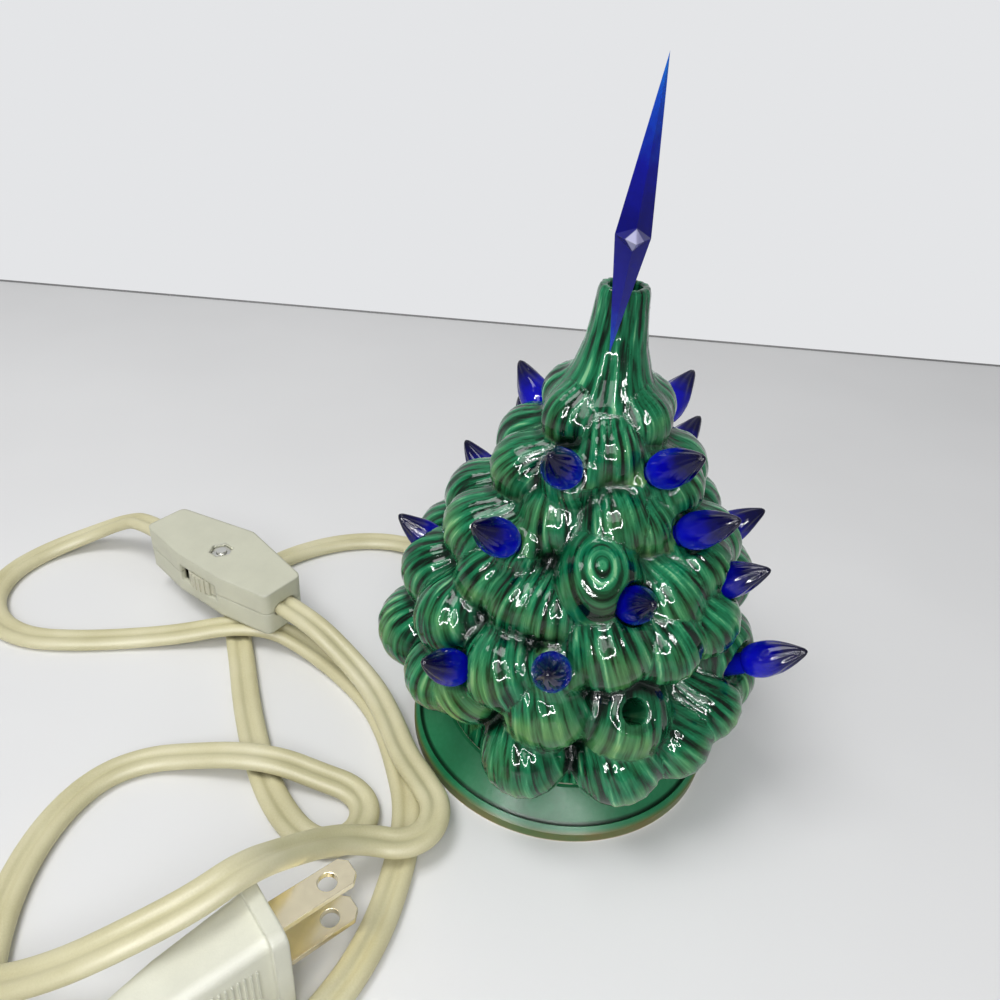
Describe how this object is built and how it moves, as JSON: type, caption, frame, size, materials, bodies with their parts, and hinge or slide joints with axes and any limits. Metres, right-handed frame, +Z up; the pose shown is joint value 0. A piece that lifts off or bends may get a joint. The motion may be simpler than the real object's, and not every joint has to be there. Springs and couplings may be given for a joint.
{
  "type": "ceramic_christmas_tree",
  "caption": "Small glazed ceramic Christmas tree with push-in plastic light pegs, a star topper, a lighted base and a flat lead with an in-line switch and plug",
  "frame": {"origin": "centre of the base's foot on the table", "axes": "+Z up along the tree, -Y the front seen in the picture, +X to its right"},
  "size_m": [0.2345, 0.268, 0.1632],
  "materials": {
    "green_glaze": "glossy",
    "peg_blue_clear": "glossy translucent",
    "lamp_glass": "clear",
    "nickelled_brass": "rolled",
    "black_insulator": "glossy",
    "solder_tin": "soldered",
    "filament_wire": "drawn",
    "socket_plastic": "moulded",
    "brass": "rolled",
    "spring_steel": "rolled",
    "cord_vinyl": "satin",
    "tie_plastic": "satin",
    "switch_plastic": "satin",
    "wheel_plastic": "ribbed",
    "zinc_steel": "plated",
    "plug_vinyl": "moulded",
    "blade_brass": "stamped"
  },
  "bodies": {
    "stand": {"base": "green_glaze", "socket_body": "socket_plastic", "socket_screw_shell": "brass", "socket_centre_contact": "brass", "socket_spring_clips": "spring_steel", "cord_lead_in": "cord_vinyl", "cord_coil": "cord_vinyl", "cord_base_to_switch": "cord_vinyl", "cord_switch_to_plug": "cord_vinyl", "cord_tie": "tie_plastic", "switch_bottom_cover": "switch_plastic", "switch_top_cover": "switch_plastic", "switch_screw": "zinc_steel", "switch_nut": "zinc_steel", "switch_contacts": "brass", "plug_body": "plug_vinyl", "plug_blade_lower": "blade_brass", "plug_blade_upper": "blade_brass"},
    "tree": {"tree_shell": "green_glaze"},
    "topper": {"star_topper": "peg_blue_clear"},
    "lamp": {"lamp_glass": "lamp_glass", "lamp_screw_shell": "nickelled_brass", "lamp_insulator": "black_insulator", "lamp_tip_contact": "solder_tin", "lamp_stem": "lamp_glass", "lamp_filament": "filament_wire"},
    "wheel": {"switch_thumbwheel": "wheel_plastic"},
    "light_peg_01_body": {"light_peg_01": "peg_blue_clear"},
    "light_peg_02_body": {"light_peg_02": "peg_blue_clear"},
    "light_peg_03_body": {"light_peg_03": "peg_blue_clear"},
    "light_peg_04_body": {"light_peg_04": "peg_blue_clear"},
    "light_peg_05_body": {"light_peg_05": "peg_blue_clear"},
    "light_peg_06_body": {"light_peg_06": "peg_blue_clear"},
    "light_peg_07_body": {"light_peg_07": "peg_blue_clear"},
    "light_peg_08_body": {"light_peg_08": "peg_blue_clear"},
    "light_peg_09_body": {"light_peg_09": "peg_blue_clear"},
    "light_peg_10_body": {"light_peg_10": "peg_blue_clear"},
    "light_peg_11_body": {"light_peg_11": "peg_blue_clear"},
    "light_peg_12_body": {"light_peg_12": "peg_blue_clear"},
    "light_peg_13_body": {"light_peg_13": "peg_blue_clear"},
    "light_peg_14_body": {"light_peg_14": "peg_blue_clear"},
    "light_peg_15_body": {"light_peg_15": "peg_blue_clear"},
    "light_peg_16_body": {"light_peg_16": "peg_blue_clear"},
    "light_peg_17_body": {"light_peg_17": "peg_blue_clear"},
    "light_peg_18_body": {"light_peg_18": "peg_blue_clear"},
    "light_peg_19_body": {"light_peg_19": "peg_blue_clear"},
    "light_peg_20_body": {"light_peg_20": "peg_blue_clear"},
    "light_peg_21_body": {"light_peg_21": "peg_blue_clear"},
    "light_peg_22_body": {"light_peg_22": "peg_blue_clear"},
    "light_peg_23_body": {"light_peg_23": "peg_blue_clear"}
  },
  "joints": [
    {"name": "tree_lift", "type": "slide", "parent": "stand", "child": "tree", "axis": [0, 0, 1], "range_m": [0, 0.12]},
    {"name": "topper_lift", "type": "slide", "parent": "tree", "child": "topper", "axis": [0, 0, 1], "range_m": [0, 0.02]},
    {"name": "lamp_turn", "type": "hinge", "parent": "stand", "child": "lamp", "pos_m": [0, 0, 0.0189], "axis": [0, 0, 1], "continuous": true},
    {"name": "wheel_turn", "type": "hinge", "parent": "stand", "child": "wheel", "pos_m": [-0.1035, 0.0326, 0.0155], "axis": [0, 0, 1], "continuous": true},
    {"name": "light_peg_01_pull", "type": "slide", "parent": "tree", "child": "light_peg_01_body", "axis": [-0.4821, 0.5953, 0.6428], "range_m": [0, 0.014]},
    {"name": "light_peg_02_pull", "type": "slide", "parent": "tree", "child": "light_peg_02_body", "axis": [-0.3478, 0.6826, 0.6428], "range_m": [0, 0.014]},
    {"name": "light_peg_03_pull", "type": "slide", "parent": "tree", "child": "light_peg_03_body", "axis": [0.5417, 0.5417, 0.6428], "range_m": [0, 0.014]},
    {"name": "light_peg_04_pull", "type": "slide", "parent": "tree", "child": "light_peg_04_body", "axis": [-0.6118, 0.461, 0.6428], "range_m": [0, 0.014]},
    {"name": "light_peg_05_pull", "type": "slide", "parent": "tree", "child": "light_peg_05_body", "axis": [-0.3116, -0.6998, 0.6428], "range_m": [0, 0.014]},
    {"name": "light_peg_06_pull", "type": "slide", "parent": "tree", "child": "light_peg_06_body", "axis": [0.4284, -0.6351, 0.6428], "range_m": [0, 0.014]},
    {"name": "light_peg_07_pull", "type": "slide", "parent": "tree", "child": "light_peg_07_body", "axis": [0.551, 0.5321, 0.6428], "range_m": [0, 0.014]},
    {"name": "light_peg_08_pull", "type": "slide", "parent": "tree", "child": "light_peg_08_body", "axis": [-0.7656, 0.0267, 0.6428], "range_m": [0, 0.014]},
    {"name": "light_peg_09_pull", "type": "slide", "parent": "tree", "child": "light_peg_09_body", "axis": [-0.5026, -0.5781, 0.6428], "range_m": [0, 0.014]},
    {"name": "light_peg_10_pull", "type": "slide", "parent": "tree", "child": "light_peg_10_body", "axis": [0.5602, -0.5224, 0.6428], "range_m": [0, 0.014]},
    {"name": "light_peg_11_pull", "type": "slide", "parent": "tree", "child": "light_peg_11_body", "axis": [0.7659, -0.0134, 0.6428], "range_m": [0, 0.014]},
    {"name": "light_peg_12_pull", "type": "slide", "parent": "tree", "child": "light_peg_12_body", "axis": [0.67, -0.3714, 0.6428], "range_m": [0, 0.014]},
    {"name": "light_peg_13_pull", "type": "slide", "parent": "tree", "child": "light_peg_13_body", "axis": [0.1853, -0.7433, 0.6428], "range_m": [0, 0.014]},
    {"name": "light_peg_14_pull", "type": "slide", "parent": "tree", "child": "light_peg_14_body", "axis": [-0.5126, -0.5693, 0.6428], "range_m": [0, 0.014]},
    {"name": "light_peg_15_pull", "type": "slide", "parent": "tree", "child": "light_peg_15_body", "axis": [-0.1462, -0.752, 0.6428], "range_m": [0, 0.014]},
    {"name": "light_peg_16_pull", "type": "slide", "parent": "tree", "child": "light_peg_16_body", "axis": [0.6764, -0.3596, 0.6428], "range_m": [-0.005, 0.009]},
    {"name": "light_peg_17_pull", "type": "slide", "parent": "tree", "child": "light_peg_17_body", "axis": [0.0267, 0.7656, 0.6428], "range_m": [0, 0.014]},
    {"name": "light_peg_18_pull", "type": "slide", "parent": "tree", "child": "light_peg_18_body", "axis": [0.133, 0.7544, 0.6428], "range_m": [0, 0.014]},
    {"name": "light_peg_19_pull", "type": "slide", "parent": "tree", "child": "light_peg_19_body", "axis": [0.3596, 0.6764, 0.6428], "range_m": [0, 0.014]},
    {"name": "light_peg_20_pull", "type": "slide", "parent": "tree", "child": "light_peg_20_body", "axis": [-0.133, 0.7544, 0.6428], "range_m": [0, 0.014]},
    {"name": "light_peg_21_pull", "type": "slide", "parent": "tree", "child": "light_peg_21_body", "axis": [0.4924, 0.5868, 0.6428], "range_m": [0, 0.014]},
    {"name": "light_peg_22_pull", "type": "slide", "parent": "tree", "child": "light_peg_22_body", "axis": [0.0668, 0.7631, 0.6428], "range_m": [0, 0.014]},
    {"name": "light_peg_23_pull", "type": "slide", "parent": "tree", "child": "light_peg_23_body", "axis": [-0.383, 0.6634, 0.6428], "range_m": [0, 0.014]}
  ]
}
